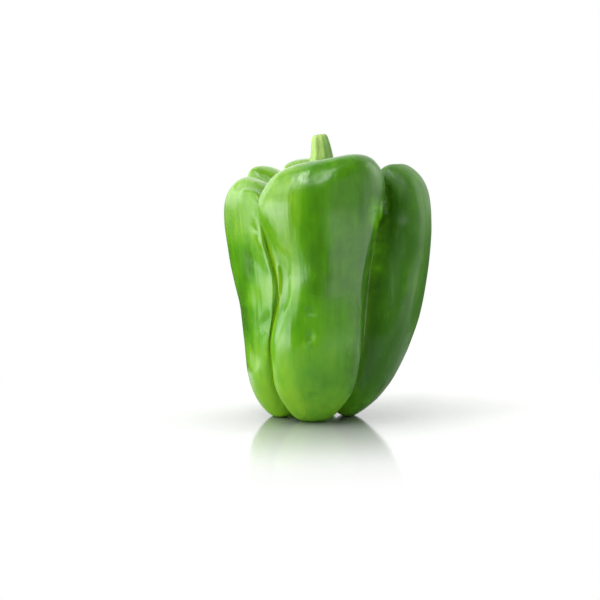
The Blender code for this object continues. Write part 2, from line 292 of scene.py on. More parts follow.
def placed(bearing, radius, height):
    """The point at a bearing and radius from the fruit's leaning middle line."""
    angle = math.radians(bearing)
    lean = value_at(height, LEAN_HEIGHTS, LEAN_X)
    return MIDDLE + Vector((lean + radius * math.cos(angle), radius * math.sin(angle), height))


# %% [markdown]
# A lobe's columns bulge out between its two grooves like a half circle, made fuller by
# raising its cosine to a power below one.

# %% Columns of the cage
SIDE_RINGS = (0.86, 0.72, 0.58, 0.45, 0.32, 0.19, 0.085)
CREST_RINGS = (2, 3, 4)


def crest_profile(lobe):
    """Radius and height of a lobe's middle column at each ring, from the hollow to the pit."""
    top, crest = lobe["radii"][-1], lobe["crest"]
    shoulder_in, shoulder_down = lobe["shoulder"]
    profile = [(HOLLOW_RADIUS, HOLLOW_FLOOR),
               (HOLLOW_SLOPE_RADIUS, HOLLOW_FLOOR + HOLLOW_SLOPE_RISE),
               (top - HOLLOW_WALL_INSET, crest - HOLLOW_WALL_DROP),
               (top - lobe["inset"], crest), (top - shoulder_in, crest - shoulder_down)]
    for part in SIDE_RINGS:
        profile.append((value_at(part * crest, STATIONS, lobe["radii"]), part * crest))
    return profile + [(lobe["tip"], -TIP_SINK), (lobe["tip"] - TIP_INNER_INSET, TIP_INNER_RISE)]


def groove_profile(name, crest):
    """Bearing, radius and height of a groove at each ring."""
    bearings, radii = GROOVES[name]
    top, up = radii[-1], bearings[-1]
    profile = [(up, HOLLOW_RADIUS, HOLLOW_FLOOR),
               (up, HOLLOW_SLOPE_RADIUS, HOLLOW_FLOOR + GROOVE_FLOOR_LIFT),
               (up, top - GROOVE_FLOOR_INSET, HOLLOW_FLOOR + HOLLOW_SLOPE_RISE),
               (up, top - GROOVE_CREST_INSET, crest - GROOVE_CREST_DROP),
               (up, top, crest - GROOVE_SHOULDER_DROP)]
    for part in SIDE_RINGS:
        height = max(part * crest, GROOVE_FOOT)
        profile.append((value_at(height, STATIONS, bearings),
                        value_at(height, STATIONS, radii), height))
    return profile + [(bearings[0], PIT_MOUTH_RADIUS, PIT_ROOF),
                      (bearings[0], PIT_RADIUS, PIT_ROOF)]


def lobe_columns(lobe, start, end):
    """A lobe's columns of points between the grooves that it starts and ends at."""
    columns = []
    for number, lift in enumerate(lobe["lift"]):
        swing = math.radians(180 * (number + 1) / (len(lobe["lift"]) + 1) - 90)
        across = (math.sin(swing) + 1) / 2
        column = []
        for ring, (from_at, to_at, crest_at) in enumerate(zip(start, end, crest_profile(lobe))):
            bearing, radius, height = (a + (b - a) * across for a, b in zip(from_at, to_at))
            near_waist = math.exp(-((from_at[2] - WAIST_HEIGHT) / WAIST_SPREAD) ** 2)
            fullness = FULLNESS + (lobe["waist_fullness"] - FULLNESS) * near_waist
            out = math.cos(swing) ** fullness
            rise = lift if ring in CREST_RINGS else 0
            column.append(placed(bearing, radius + (crest_at[0] - radius) * out,
                                 height + (crest_at[1] - height) * out + rise))
        columns.append(column)
    return columns


names = list(LOBES)
profiles = [groove_profile(name, min(LOBES[name]["crest"], LOBES[names[i - 1]]["crest"]))
            for i, name in enumerate(names)]
profiles.append([(bearing + 360, radius, height) for bearing, radius, height in profiles[0]])
columns = []
groove_numbers = []
for i, name in enumerate(names):
    groove_numbers.append(len(columns))
    columns.append([placed(*ring) for ring in profiles[i]])
    columns += lobe_columns(LOBES[name], profiles[i], profiles[i + 1])
ring_count = len(columns[0])
print(len(columns), "columns, of which grooves:", groove_numbers, "and", ring_count, "rings")

# %% [markdown]
# ## What grew unevenly
#
# No pepper is quite even. The front lobe is pinched at its waist and swings round the left
# lobe, and the grooves wander. Each of these is a single cage point that is pulled away from
# the even shape: for each lobe and column (0 is the groove that it starts at), the ring, and
# how far to the right, back and up in millimetres.

# %% Pulled points of the cage
PULLED = {
    ("front", 0): {4: (-0.2, -3.1, 0.7), 5: (-1.5, -8.6, 0), 6: (-3.9, -7.8, 0), 7: (0.8, -6.7, 0),
                   8: (-1, -4.8, 0), 9: (-2, -4.1, 0), 10: (-1.5, 0, 0)},
    ("front", 1): {4: (0.1, -2.7, 0), 5: (-4.3, -3, -3.5), 6: (4.5, -5, -1.5), 7: (5.2, -3.2, 0),
                   8: (4.2, -4.7, 0), 9: (2.8, -3.3, 0), 10: (-1, 0, 0), 11: (-1.5, 0, 0)},
    ("front", 2): {4: (-1, 0, 0), 5: (3.9, -3.6, -1.5), 6: (1.6, -1.5, -1), 7: (3.3, 2.4, 0),
                   8: (1.1, -3.4, 0), 9: (-2.2, 0.6, 0), 10: (-1, 0, 0), 11: (-0.8, 0, 0)},
    ("front", 3): {8: (0.2, 0.3, 0), 9: (0.6, -0.5, 0)},
    ("right", 1): {4: (-1.9, -0.8, 0), 5: (-0.6, -1.8, 0), 6: (-0.7, 1.4, 0), 7: (-0.6, 2.5, 0),
                   8: (0.2, 3.3, 0)},
    ("right", 2): {4: (2.3, -8.2, 0), 5: (-2.3, -10.4, 0), 6: (0.7, -10.5, 0), 7: (0.6, -10.3, 0),
                   8: (0.4, -9.6, 0), 9: (0, -7.1, 0), 10: (-0.3, -1, 0)},
    ("right", 3): {4: (-0.5, -4.9, 0), 5: (-0.6, -5.6, 0), 6: (-0.9, -7.3, 0), 7: (-0.5, -4.5, 0),
                   8: (0.3, -2.4, 0)},
    ("back", 1): {3: (4.2, -0.4, -0.6)},
    ("back", 2): {3: (-1.5, 1.2, -2.8)},
    ("back", 3): {3: (-7.6, -1.1, -1.4)},
    ("back", 4): {3: (-7.6, -1.1, -6.7)},
    ("back_left", 2): {3: (-1.7, 1, 0)},
    ("back_left", 3): {3: (-6.9, 0.6, 2)},
    ("left", 1): {6: (-0.9, 0, 0), 7: (-2.6, 1, 0), 8: (-0.4, 0, 0)},
    ("left", 2): {6: (-1.1, 0.8, 0), 7: (-3, 2.2, 0), 8: (-0.6, 0, 0)},
    ("left", 3): {4: (0.6, 1.5, 0), 5: (-1.9, 8.5, 0), 6: (-1.4, 8.7, 0), 7: (7.3, -10.1, 0),
                  8: (2.8, -4.8, 0), 9: (3.3, -6, 0)},
    ("left", 4): {4: (4.6, -10.8, 0.2), 5: (9.5, -12.4, 0), 6: (5.2, -9.4, 0), 7: (6.7, -8.1, 0),
                  8: (4.3, -7.6, 0), 9: (3.6, -6.2, 0), 10: (0.8, -1, 0)},
}
for (name, number), moves in PULLED.items():
    column = groove_numbers[names.index(name)] + number
    for ring, move in moves.items():
        columns[column][ring] += Vector(move) / MM_PER_METRE
print(sum(len(moves) for moves in PULLED.values()), "cage points are pulled")

# %% [markdown]
# ## Pulling a ball into the cage
#
# A ball with as many meridians and parallels as the cage needs is the natural start: it is
# closed, it has its faces outwards, and its two poles become the floor of the hollow and the
# roof of the pit. Each of its points is picked and pulled to its place in the cage.

# %% Cage of the fruit
bpy.ops.object.select_all(action="DESELECT")
bpy.ops.mesh.primitive_uv_sphere_add(segments=len(columns), ring_count=ring_count + 1, radius=1)
fruit = bpy.context.object
fruit.name = "pepper_fruit"

bm = start_editing(fruit)
bm.verts.ensure_lookup_table()
cage_place = {}
for point in bm.verts:
    ring = round(math.acos(max(-1, min(1, point.co.z))) * (ring_count + 1) / math.pi) - 1
    column = round(math.atan2(point.co.y, point.co.x) * len(columns) / math.tau) % len(columns)
    cage_place[point.index] = (column, ring)
for point in bm.verts:
    column, ring = cage_place[point.index]
    if ring < 0:
        target = MIDDLE + Vector((0, 0, HOLLOW_FLOOR))
    elif ring == ring_count:
        target = placed(0, 0, PIT_ROOF)
    else:
        target = columns[column][ring]
    pick([point], bm)
    bpy.ops.transform.translate(value=target - point.co)
print(len(cage_place), "points pulled into the cage")

# %% [markdown]
# The grooves' edges get a crease, so that rounding the cage off keeps a tight fold there. The
# floor of the hollow and the roof of the pit stay smooth. The points of the grooves also get
# an attribute, which spreads softly as the cage is subdivided and tells the skin's finish how
# near a groove is.

# %% Creases of the grooves
GROOVE_SHARPNESS = 0.7
SMOOTH_END_RINGS = 2

bpy.ops.mesh.select_all(action="DESELECT")
bpy.ops.mesh.select_mode(type="EDGE")
for edge in bm.edges:
    (column, ring), (other_column, other_ring) = (cage_place[v.index] for v in edge.verts)
    low, high = sorted((ring, other_ring))
    along_groove = column == other_column and column in groove_numbers
    if along_groove and SMOOTH_END_RINGS <= low and high <= ring_count - SMOOTH_END_RINGS:
        edge.select_set(True)
bpy.ops.transform.edge_crease(value=GROOVE_SHARPNESS)
stop_editing()

valley = fruit.data.attributes.new("valley", "FLOAT", "POINT")
for index, (column, ring) in cage_place.items():
    valley.data[index].value = 1.0 if column in groove_numbers else 0.0
describe(fruit)

# %% [markdown]
# ## Folds that the hand can feel
#
# Two rounds of subdivision turn the cage into a skin with a point every two millimetres. At
# that spacing a few soft pushes make what no cage shows: the valleys, the swelling and the
# bump on the left lobe, and the shallow hollows with a ripple between them on the right one.
# Each push picks the points along a short line in the picture and moves them along their own
# normals with the shrink and fatten tool, with a soft edge.

# %% Broad folds
subdivide(fruit, 2)


def distance_to_line(place, line):
    """How far a point is from a line of places."""
    best = min((place - line[0]).length, (place - line[-1]).length)
    for a, b in zip(line, line[1:]):
        along = max(0, min(1, (place - a).dot(b - a) / max((b - a).length_squared, 1e-12)))
        best = min(best, (place - a - along * (b - a)).length)
    return best


def press(piece, pixels, out, core, reach):
    """Push the skin out (or in, below zero) along a line of pixels in the picture."""
    line = [seen_at(piece, pixel) for pixel in pixels]
    bm = start_editing(piece)
    near = [point for point in bm.verts if distance_to_line(point.co, line) < core]
    if not near:
        near = [min(bm.verts, key=lambda point: (point.co - line[0]).length)]
    pick(near, bm)
    bpy.ops.transform.shrink_fatten(value=out, **softly(reach))
    stop_editing()
    return len(near)


# Each push: the line of pixels, how far out, and how far its core and its soft edge reach.
BROAD_FOLDS = {
    "valley down the left lobe": (
        ((252, 240), (256, 262), (256, 285), (255, 305)), -0.0004, 0.0008, 0.0030),
    "slanting valley low on the left lobe": (
        ((266, 322), (257, 336), (249, 350)), -0.0010, 0.0010, 0.0036),
    "bump low on the left lobe": (((258, 373), (263, 380)), 0.0014, 0.0020, 0.0075),
    "swelling high on the left lobe": (((240, 200), (239, 212)), 0.0006, 0.0014, 0.0050),
    "upper hollow of the right lobe": (((386, 208), (396, 210)), -0.0009, 0.0010, 0.0040),
    "ripple across the right lobe": (((384, 230), (396, 229), (404, 226)), 0.0012, 0.0008, 0.0036),
    "lower hollow of the right lobe": (((384, 250), (396, 252)), -0.0007, 0.0010, 0.0040),
}
for what, push in BROAD_FOLDS.items():
    print(what + ":", press(fruit, *push), "points")

# %% [markdown]
# ## The skin's own waviness
#
# No lobe is as even as a subdivided cage. A reflection on a real pepper wanders a little,
# because the wall underneath is thicker and thinner. Two Displace modifiers with cloud
# textures do that, one slow and one fast. A round of subdivision follows each, and leaves a
# point every half millimetre, fine enough for the dimples.

# %% Waviness
# The size of the clouds, and the height that they raise and lower the skin over.
SLOW_WAVE = (0.022, 0.0012)
FAST_WAVE = (0.007, 0.00022)

for size, height in (SLOW_WAVE, FAST_WAVE):
    clouds = bpy.data.textures.new(f"clouds_{round(size * MM_PER_METRE)}_mm", "CLOUDS")
    clouds.noise_scale = size
    clouds.noise_depth = 1
    finish_with(fruit, "DISPLACE", texture=clouds, texture_coords="LOCAL", strength=height,
                mid_level=0.5)
    subdivide(fruit, 1)
describe(fruit)

# %% [markdown]
# ## Small marks
#
# Close up, the skin has marks a few millimetres across and a few tenths deep: a thin rib in
# the left groove, dimples where the fruit was bruised as it grew, and holes and crinkles
# where the skin gathers beside the right groove. The light catches their rims, so they are
# pressed into the mesh too.

# %% Fine marks
FINE_MARKS = {
    "thin rib beside the left groove": (
        ((277, 268), (278, 280), (278, 292)), 0.0004, 0.0006, 0.0018),
    "furrow beside that rib": (((285, 256), (286, 280), (285, 304)), -0.0003, 0.0008, 0.0030),
    "dimple at mid height": (((310, 336), (311, 340)), -0.0007, 0.0006, 0.0022),
    "rim under it": (((309, 346),), 0.0005, 0.0005, 0.0016),
    "upper dimple": (((308, 311), (313, 312)), -0.0006, 0.0006, 0.0020),
    "lower dimple": (((314, 395),), -0.0007, 0.0007, 0.0022),
    "dent on the left lobe": (((251, 227), (256, 229)), -0.0003, 0.0005, 0.0018),
    "swelling beside the front lobe": (
        ((257, 218), (259, 230), (262, 242)), 0.0005, 0.0006, 0.0034),
    "fold high on the left lobe": (((243, 191), (251, 193), (258, 198)), 0.0004, 0.0008, 0.0026),
    "furrow above that fold": (((238, 185), (250, 186), (261, 190)), -0.0005, 0.0009, 0.0030),
    "slanting ridge low on the left lobe": (
        ((265, 329), (259, 337), (254, 345)), 0.0004, 0.0007, 0.0020),
    "nick beside the right groove": (((357, 299), (360, 309)), -0.0003, 0.0003, 0.0010),
    "fin beside the right groove": (
        ((382, 203), (381, 214), (379, 226)), 0.0006, 0.0005, 0.0016),
    "dark hole high in the right groove": (((387, 190), (386, 194)), -0.0009, 0.0006, 0.0020),
    "dark hole under it": (((387, 204), (387, 212)), -0.0009, 0.0006, 0.0020),
}
CRINKLES = (((384, 222), (390, 219)), ((379, 246), (386, 243)),
            ((375, 266), (381, 263)), ((372, 290), (379, 288)))
for number, line in enumerate(CRINKLES, 1):
    FINE_MARKS[f"crinkle {number} of the right groove"] = (line, 0.0004, 0.0004, 0.0013)
for what, push in FINE_MARKS.items():
    print(what + ":", press(fruit, *push), "points")

# %% [markdown]
# ## Standing on its tips
#
# The soft skin presses flat where the fruit stands. Every point below the surface is picked
# and flattened onto it, by scaling its height to nothing about the surface.

# %% Flats under the tips
bm = start_editing(fruit)
sunk = [point for point in bm.verts if point.co.z < 0]
pick(sunk, bm)
bpy.ops.transform.resize(value=(1, 1, 0), center_override=(0, 0, 0))
stop_editing()
fruit.data.shade_smooth()
print(len(sunk), "points stand on the surface")
describe(fruit)
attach(fruit, "root")
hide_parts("fruit")

# %% [markdown]
# ## Wiring a finish
#
# A procedural finish is arithmetic on patterns: this mask times that one, one minus the
# other. Written as nodes by hand it is long, so one small class stands for the output of a
# node. Adding or multiplying two of them adds the Math node for it, and its one method adds
# any other kind of node.

# %% Wires
def feed(node, sockets):
    """Link a node's sockets to wires, or set them to constants."""
    for name, value in sockets.items():
        if isinstance(value, Wire):
            value.tree.links.new(value.socket, node.inputs[name])
        else:
            node.inputs[name].default_value = value


class Wire:
    """An output of a node in a material. Arithmetic on wires adds Math nodes."""

    def __init__(self, tree, socket=None):
        self.tree = tree
        self.socket = socket

    def node(self, kind, settings=None, sockets=None, output=0):
        """Add a node, set it up, feed its sockets and return one of its outputs."""
        node = self.tree.nodes.new(kind)
        for name, value in (settings or {}).items():
            if name == "stops":
                ramp = node.color_ramp.elements
                while len(ramp) < len(value):
                    ramp.new(0.5)
                for stop, (position, colour) in zip(ramp, value):
                    stop.position = position
                    stop.color = (*colour, 1)
            else:
                setattr(node, name, value)
        feed(node, sockets or {})
        return Wire(self.tree, node.outputs[output])

    def maths(self, operation, *values):
        return self.node("ShaderNodeMath", {"operation": operation}, dict(enumerate(values)))

    def __add__(self, other):
        return self.maths("ADD", self, other)

    def __sub__(self, other):
        return self.maths("SUBTRACT", self, other)

    def __rsub__(self, other):
        return self.maths("SUBTRACT", other, self)

    def __mul__(self, other):
        return self.maths("MULTIPLY", self, other)

    def __pow__(self, other):
        return self.maths("POWER", self, other)

    __radd__ = __add__
    __rmul__ = __mul__


# %% [markdown]
# A few patterns come back in every finish: a place on the object, noise of a size in metres,
# masks that run from nought to one between two values, and a mix of two colours by a mask.

# %% Patterns
def new_finish(name):
    """A material, a wire to start from, and its clean Principled shader."""
    material = bpy.data.materials.new(name)
    material.use_nodes = True
    start = Wire(material.node_tree)
    return material, start, material.node_tree.nodes["Principled BSDF"]


def object_place(start, stretch=(1, 1, 1)):
    """Object coordinates, in metres, squeezed along each axis by a stretch."""
    place = start.node("ShaderNodeTexCoord", output="Object")
    return place.node("ShaderNodeMapping", {}, {"Vector": place, "Scale": stretch})


def along(place, axis):
    """How far a place is along an axis."""
    return place.node("ShaderNodeSeparateXYZ", {}, {0: place}, output=axis)


def noise(place, size, detail=2):
    """Noise from nought to one, whose blots are about a size across."""
    return place.node("ShaderNodeTexNoise", {}, {"Vector": place, "Scale": 1 / size,
                                                 "Detail": detail, "Roughness": 0.5})


def between(value, low, high, *fade):
    """A mask that runs softly from nought at low to one at high, and may fade out again."""
    mask = value.node("ShaderNodeMapRange", {"interpolation_type": "SMOOTHSTEP"},
                      {"Value": value, "From Min": low, "From Max": high})
    return mask * (1 - between(value, *fade)) if fade else mask


def colour_mix(mask, under, over):
    """One colour over another, where the mask is one."""
    under, over = (c if isinstance(c, Wire) else (*c, 1) for c in (under, over))
    return mask.node("ShaderNodeMix", {"data_type": "RGBA"},
                     {0: mask, 6: under, 7: over}, output=2)


def bumps(height, strength, distance, under=None):
    """Bumps of a height, on top of other bumps if there are any."""
    sockets = {"Strength": strength, "Distance": distance, "Height": height}
    if under is not None:
        sockets["Normal"] = under
    return height.node("ShaderNodeBump", {}, sockets)


# %% [markdown]
# ## The skin
#
# The skin is a thin clear wax over deep green flesh, and neither is the same all over. So the
# finish starts with a map: how far across, up and back a point is, with blots that let the
# edges of the zones wander, and how near a groove it is. One flat green under a bump would be
# quicker, but it looks like plastic.

# %% Map of the skin
BLOT_SIZE = 0.018
WANDER_ACROSS = 0.012
WANDER_UP = 0.016

skin, start, shader = new_finish("pepper_skin")
place = object_place(start)
blots = noise(place, BLOT_SIZE, detail=3)
across = along(place, "X") + (blots - 0.5) * WANDER_ACROSS
height = along(place, "Z") + (blots - 0.5) * WANDER_UP
depth = along(place, "Y")
groove = start.node("ShaderNodeAttribute", {"attribute_name": "valley"}, output="Fac")

# %% [markdown]
# From the map come the zones that look different. Most are a side or a height of the fruit. Two
# are small: a saddle between the left lobe's shoulder and its waist, which gets painted shade, and
# a strip beside the right groove where the skin is crinkled and the light and shade of the
# crinkles is painted.

# %% Zones of the skin
# Where each soft edge starts and ends. Four numbers are a band, with an edge at either side.
EDGES = {
    "front": (-0.006, 0.014),
    "left side": (-0.016, -0.006),
    "far left": (-0.031, -0.026),
    "far left, in front": (-0.009, 0.004),
    "middle": (-0.013, -0.008, 0.006, 0.012),
    "right side": (0.004, 0.020),
    "far right": (0.027, 0.033),
    "foot": (0.006, 0.020),
    "under the belly": (0.016, 0.036),
    "low": (0.030, 0.050),
    "belly": (0.042, 0.054),
    "waist": (0.022, 0.040, 0.064, 0.076),
    "top": (0.076, 0.098),
    "shoulder": (0.080, 0.100),
    "lid": (0.000, 0.014),
    "saddle": (-0.034, -0.028, -0.026, -0.018),
    "saddle, up": (0.048, 0.058, 0.068, 0.078),
    "crinkled": (0.014, 0.017, 0.019, 0.024),
    "crinkled, up": (0.052, 0.062, 0.082, 0.090),
    "dull right": (0.020, 0.026),
    "dull left": (-0.030, -0.026),
    "dull left, up": (0.062, 0.074),
    "groove": (0.3, 1.0),
    "down in the groove": (0.35, 0.95),
}
LEFT_SIDE_BEHIND = 0.35
RIGHT_SIDE_BEHIND = 0.4


def zone(value, name):
    return between(value, *EDGES[name])


front = 1 - zone(depth, "front")
left_side = (1 - zone(across, "left side")) * (
    front * (1 - LEFT_SIDE_BEHIND) + LEFT_SIDE_BEHIND)
right_side = zone(across, "right side") * (
    front * (1 - RIGHT_SIDE_BEHIND) + RIGHT_SIDE_BEHIND)
middle = zone(across, "middle")
top = zone(height, "top")
lid = top * (1 - zone(across, "lid"))
belly = 1 - zone(height, "belly")
foot = 1 - zone(height, "foot")
waist = zone(height, "waist")
left_waist = (1 - zone(across, "far left")) * (1 - zone(depth, "far left, in front")) * waist
saddle = zone(height, "saddle, up") * zone(across, "saddle")
crinkled = zone(across, "crinkled") * zone(height, "crinkled, up")
dull = zone(across, "dull right") + (
    (1 - zone(across, "dull left")) * zone(height, "dull left, up") * 0.5)
print("edges of skin zones:", ", ".join(EDGES))

# %% [markdown]
# The green is lighter on the left lobes, over the shoulders and at the foot, and deeper on the
# right lobe and at the waist. Most of that is painted light and painted shade: painted light on
# the left lobes and the shoulders, where the soft light falls and shines through the skin, and at
# the foot, where light is thrown up from the table; painted shade on the right lobe, low on the
# right, at the far left of the waist, at the left of the belly and in a saddle beside the front
# lobe. It also has blots, faint long streaks from top to bottom, and mottles. Beside the right
# groove the light and shade of the crinkles is painted too. Each of these adds to or takes from
# one lightness, and a ramp turns that into a green, from deep to yellow. Yellower green lies down
# in the grooves, partly the skin's own tone and partly painted light that lifts the shade there,
# most of all in the left groove, and the whole skin is strewn with tiny pale specks.

# %% Lightness of the skin
PLAIN_LIGHTNESS = 0.36
STREAK_WIDTH = 0.0028
STREAK_STRETCH = (1, 1, 0.12)
MOTTLE_SIZE = 0.0050
CRINKLE_SIZE = 0.0050
CRINKLE_STRETCH = (1, 1, 2.2)

streaks = noise(object_place(start, STREAK_STRETCH), STREAK_WIDTH)
mottles = noise(place, MOTTLE_SIZE)
crinkles = noise(object_place(start, CRINKLE_STRETCH), CRINKLE_SIZE)
shades = {
    # Painted light: the left lobes are lighter where the soft light falls on them and shines
    # through the skin.
    "left lobes": left_side * 0.48,
    # Painted shade: the far left of the waist is made a deeper green.
    "far left at the waist": left_waist * -0.50,
    # Painted shade: the right lobe is deeper, where the front lobe keeps the light off it.
    "right lobe": right_side * -0.34 * (1 - zone(height, "shoulder") * 0.4),
    # Painted light: the shoulders are lighter where light falls from above, most at the back.
    "shoulders": lid * (0.54 - front * 0.44),
    # Painted shade at the left of the belly.
    "left of the belly": belly * left_side * waist * -0.32,
    "belly": belly * middle * (0.10 + zone(height, "under the belly") * 0.12),
    # Painted light: the foot is lighter, standing for light thrown up from the table.
    "foot": foot * 0.30,
    # Painted shade in the saddle between the left lobe's shoulder and its waist, beside the front
    # lobe.
    "saddle": saddle * -0.24,
    # Painted light and shade: beside the right groove the crinkles' light and dark spots are
    # painted into the green, over the crinkles pressed into the mesh.
    "crinkles": crinkled * (crinkles - 0.1) * 1.1,
    "front of the waist": middle * waist * -0.08,
    "far right": zone(across, "far right") * 0.14,
    # Painted light lifts the shade down in the grooves.
    "grooves": zone(groove, "groove") * (1 - right_side) * 0.26,
    # Painted shade low on the right lobe.
    "low on the right": right_side * (1 - zone(height, "low")) * -0.14,
    "blots": (blots - 0.5) * 0.45,
    "streaks": (streaks - 0.5) * 0.48,
    "mottles": (mottles - 0.5) * 0.30,
}
lightness = sum(shades.values(), PLAIN_LIGHTNESS)
print("lightness is changed by:", ", ".join(shades))

# %% Greens of the skin
GREENS = ((0.0, (0.030, 0.125, 0.0030)), (0.25, (0.050, 0.180, 0.0030)),
          (0.45, (0.068, 0.245, 0.0030)), (0.6, (0.090, 0.290, 0.0035)),
          (0.8, (0.125, 0.330, 0.0050)), (1.0, (0.175, 0.395, 0.0080)))
# Yellower green in the grooves: partly the skin's own tone, partly painted light that lifts the
# shade there, most in the left groove.
GROOVE_GREEN = (0.255, 0.520, 0.0120)
GROOVE_STRENGTH = 0.1
GROOVE_STRENGTH_LEFT = 0.65
SPECK_GREEN = (0.220, 0.420, 0.0400)
SPECKS_PER_METRE = 620
SPECK_EDGE = (0.10, 0.30)
SPECK_STRENGTH = 0.15
SPECK_PATCH_SIZE = 0.006
SPECK_PATCH_EDGE = (0.45, 0.7)

green = start.node("ShaderNodeValToRGB", {"stops": GREENS}, {"Fac": lightness}, output="Color")
groove_tone_and_light = zone(groove, "down in the groove") * (
    left_side * GROOVE_STRENGTH_LEFT + GROOVE_STRENGTH)
green = colour_mix(groove_tone_and_light, green, GROOVE_GREEN)
cells = start.node("ShaderNodeTexVoronoi", {}, {"Vector": place, "Scale": SPECKS_PER_METRE})
specks = (1 - between(cells, *SPECK_EDGE)) * between(
    noise(place, SPECK_PATCH_SIZE), *SPECK_PATCH_EDGE)
green = colour_mix(specks * SPECK_STRENGTH, green, SPECK_GREEN)

# %% [markdown]
# A coat gives the wax its sharp, weak reflection over the wider gloss of the skin, and some
# light goes a few millimetres into the flesh. The wax is duller at the far right, high at the
# far left, on the right lobe's top and over the belly. The finest unevenness is a bump, far
# too small for the mesh: long, low streaks that draw the reflections out from top to bottom,
# and a ripple like that of orange peel over them.

# %% Gloss of the skin
SKIN_ROUGHNESS = 0.17
SKIN_COAT = 0.25
GLOSS_BLOT_SIZE = 0.004
DRAWN_OUT_WIDTH = 0.0040
DRAWN_OUT_STRETCH = (1, 1, 0.06)
# The size and share of each ripple.
RIPPLES = ((0.0016, 0.6), (0.0005, 0.15))
RIPPLE_STRENGTH = 0.12
BUMP_HEIGHT = 0.0004

roughness = sum((
    noise(place, GLOSS_BLOT_SIZE, detail=4) * 0.10,
    dull * 0.14,
    left_waist * -0.13,
    top * right_side * 0.22,
    belly * middle * 0.10,
), SKIN_ROUGHNESS)
coat = sum((dull * -0.20, left_waist * -0.25, belly * -0.15), SKIN_COAT)
drawn_out = noise(object_place(start, DRAWN_OUT_STRETCH), DRAWN_OUT_WIDTH)
ripple = sum(noise(place, size) * share for size, share in RIPPLES)
bump = bumps(drawn_out * (1 - left_waist * 0.8), 1.0, BUMP_HEIGHT)
bump = bumps(ripple, RIPPLE_STRENGTH, BUMP_HEIGHT, under=bump)
feed(shader, {
    "Base Color": green,
    "Roughness": roughness,
    "Normal": bump,
    "Subsurface Weight": 0.12,
    "Subsurface Radius": (0.8, 1.0, 0.25),
    "Subsurface Scale": 0.003,
    "Coat Weight": coat,
    "Coat Roughness": 0.10,
    "IOR": 1.45,
})
fruit.data.materials.append(skin)
print(skin.name, "has", len(skin.node_tree.nodes), "nodes")

# %% [markdown]
# ## The calyx
#
# The calyx is what is left of the flower's leaves: a leathery collar with blunt points, on
# the floor of the hollow, with a rib from each point up to the stem. It starts as a circle at
# the stem's foot, which is extruded outwards ring by ring and grown by scaling, so that every
# ring can be lowered onto the fruit.

# %% Collar of the calyx
CALYX_SIDES = 60
CALYX_CENTRE = MIDDLE + Vector((-0.0013, 0, 0))
CALYX_RINGS = ((0.0050, 0.0905), (0.0056, 0.0880), (0.0066, 0.0862), (0.0080, 0.0852),
               (0.0096, 0.0848), (0.0112, 0.0846), (0.0124, 0.0846))

first_radius, first_height = CALYX_RINGS[0]
calyx = new_circle("pepper_calyx", CALYX_SIDES, first_radius,
                   CALYX_CENTRE + Vector((0, 0, first_height)), "NOTHING")
start_editing(calyx)
bpy.ops.mesh.select_all(action="SELECT")
for (radius, height), (next_radius, next_height) in zip(CALYX_RINGS, CALYX_RINGS[1:]):
    grow = next_radius / radius
    bpy.ops.mesh.extrude_edges_move(TRANSFORM_OT_translate={"value": (0, 0, next_height - height)})
    bpy.ops.transform.resize(value=(grow, grow, 1), center_override=CALYX_CENTRE)

# %% [markdown]
# Five of the collar's outermost points are pulled out with a soft edge, each by its own
# length, because no two of the flower's leaves withered alike. Then the rib that leads to
# each is raised.

# %% Points and ribs of the calyx
CALYX_POINT_LENGTHS = (0.0030, 0.0018, 0.0026, 0.0021, 0.0028)
CALYX_POINTS = len(CALYX_POINT_LENGTHS)
CALYX_TURN = 0.3
CALYX_POINT_REACH = 0.0046
CALYX_RIB_START = 0.0055
CALYX_RIB_HALF_ANGLE = 0.09
CALYX_RIB_RISE = 0.0005
CALYX_RIB_REACH = 0.0018


def bearing_of(place, centre):
    return math.atan2(place.y - centre.y, place.x - centre.x)


bm = bmesh.from_edit_mesh(calyx.data)
for number, length in enumerate(CALYX_POINT_LENGTHS):
    angle = math.tau * (number + CALYX_TURN) / CALYX_POINTS
    way = Vector((math.cos(angle), math.sin(angle), 0))
    tip = CALYX_CENTRE + way * CALYX_RINGS[-1][0] + Vector((0, 0, CALYX_RINGS[-1][1]))
    pick([min(bm.verts, key=lambda point: (point.co - tip).length)], bm)
    bpy.ops.transform.translate(value=way * length, **softly(CALYX_POINT_REACH))
    rib = [point for point in bm.verts
           if abs(math.sin(bearing_of(point.co, CALYX_CENTRE) - angle)) < CALYX_RIB_HALF_ANGLE
           and (point.co - CALYX_CENTRE).dot(way) > CALYX_RIB_START]
    pick(rib, bm)
    bpy.ops.transform.translate(value=(0, 0, CALYX_RIB_RISE), **softly(CALYX_RIB_REACH))
bpy.ops.mesh.select_all(action="SELECT")
bpy.ops.mesh.normals_make_consistent(inside=False)
stop_editing()
describe(calyx)

# %% [markdown]
# The outer part of the collar is laid onto the skin: each point looks straight down for the
# fruit and settles just above it, fully so at the rim and less towards the stem. The collar
# then gets its thickness, and subdivision rounds its edge.

# %% Calyx on the skin
CALYX_THICKNESS = 0.0009
CALYX_LOOSE_RADIUS = 0.0068
CALYX_SETTLING = 0.004
CALYX_ABOVE_SKIN = 0.0007
CALYX_RIPPLE = 0.0004
LOOKOUT_HEIGHT = 0.095

